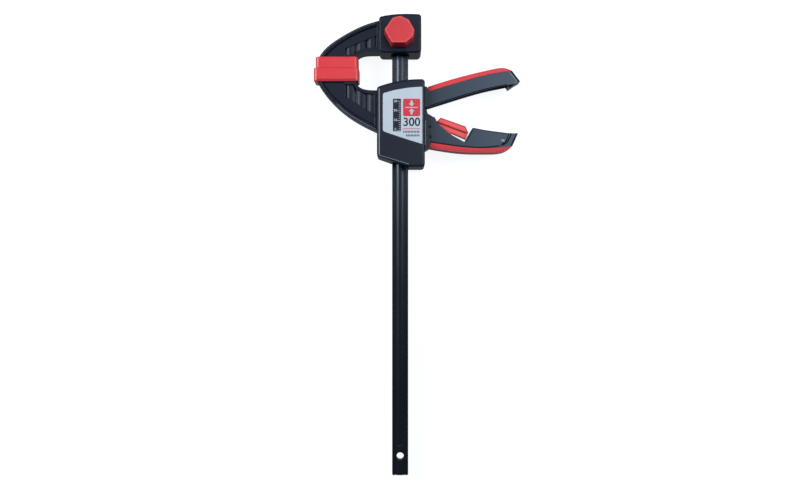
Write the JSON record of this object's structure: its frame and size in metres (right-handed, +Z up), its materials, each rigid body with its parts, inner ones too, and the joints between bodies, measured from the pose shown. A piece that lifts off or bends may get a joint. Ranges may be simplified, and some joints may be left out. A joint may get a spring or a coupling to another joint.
{
  "type": "quick release bar clamp",
  "caption": "One-handed bar clamp: a fixed jaw with a knob at the end of a grooved bar, a moving jaw with pump lever, handle and quick release, soft pads on both jaws.",
  "frame": {"origin": "under the middle of the whole clamp, on the surface it lies on", "axes": "+Y along the bar towards the fixed jaw, +X across the bar towards the handles, +Z up, out of the front cover and the knob"},
  "size_m": [0.2144, 0.4792, 0.0555],
  "materials": {
    "bar_steel": "dark satin coat",
    "jaw_plastic": "glass-filled nylon",
    "cover_plastic": "fine spark texture",
    "handle_plastic": "fine spark texture",
    "red_plastic": "semi gloss",
    "release_plastic": "semi gloss",
    "pad_rubber": "soft matt",
    "grip_rubber": "soft matt",
    "label_film": "satin film",
    "zinc_steel": "zinc plated",
    "black_steel": "black oxide",
    "rivet_metal": "bright",
    "plate_steel": "hardened, ground",
    "spring_steel": "drawn wire"
  },
  "bodies": {
    "bar_and_head": {"bar": "bar_steel", "fixed_jaw": "jaw_plastic", "head_nut": "zinc_steel", "fixed_pad": "pad_rubber"},
    "washer": {"knob_washer": "zinc_steel"},
    "knob": {"knob": "red_plastic", "knob_screw": "zinc_steel"},
    "jaw": {"moving_pad": "pad_rubber", "moving_jaw": "jaw_plastic", "upper_bar_guide": "zinc_steel", "lower_bar_guide": "zinc_steel", "front_cover": "cover_plastic", "rear_cover": "cover_plastic", "front_label": "label_film", "rear_label": "label_film", "cover_screws": "black_steel", "lever_pivot_pins": "zinc_steel", "handle": "handle_plastic", "handle_soft_grip": "grip_rubber", "handle_end_cap": "handle_plastic", "end_cap_rivet": "rivet_metal", "handle_pin": "black_steel", "release_stop_pin": "black_steel", "release_pivot_pin": "zinc_steel", "drive_spring": "spring_steel", "brake_spring": "spring_steel"},
    "lever": {"pump_lever": "handle_plastic", "lever_soft_grip": "grip_rubber"},
    "release": {"release_lever": "release_plastic"},
    "drive": {"drive_plates": "plate_steel"},
    "brake": {"brake_plate": "plate_steel"}
  },
  "joints": [
    {"name": "jaw_slide", "type": "slide", "parent": "bar_and_head", "child": "jaw", "axis": [0, -1, 0], "range_m": [0, 0.3]},
    {"name": "lever_swing", "type": "hinge", "parent": "jaw", "child": "lever", "pos_m": [-0.01755, 0.1516, 0.019], "axis": [0, 0, -1], "range_deg": [0, 20], "stiffness_Nm_per_rad": 0.8, "springref_deg": -14.32},
    {"name": "drive_travel", "type": "slide", "parent": "jaw", "child": "drive", "axis": [0, -1, 0], "range_m": [0, 0.004], "deforming": ["drive_spring"]},
    {"name": "release_swing", "type": "hinge", "parent": "jaw", "child": "release", "pos_m": [-0.00395, 0.1274, 0.019], "axis": [0, 0, -1], "range_deg": [0, 4], "stiffness_Nm_per_rad": 1, "springref_deg": -5.73},
    {"name": "brake_tilt", "type": "hinge", "parent": "jaw", "child": "brake", "pos_m": [-0.02895, 0.1166, 0.019], "axis": [0, 0, -1], "range_deg": [0, 0.87], "deforming": ["brake_spring"]},
    {"name": "screw_travel", "type": "slide", "parent": "bar_and_head", "child": "washer", "axis": [0, 0, 1], "range_m": [0, 0.004]},
    {"name": "knob_turn", "type": "hinge", "parent": "washer", "child": "knob", "pos_m": [-0.01755, 0.2184, 0.046], "axis": [0, 0, 1], "range_deg": [0, 1440]}
  ],
  "couplings": [
    {"joint": "drive_travel", "follows": "lever_swing", "m_per_rad": 0.011456},
    {"joint": "brake_tilt", "follows": "release_swing", "ratio": 0.215},
    {"joint": "knob_turn", "follows": "screw_travel", "rad_per_m": 6283.2}
  ]
}
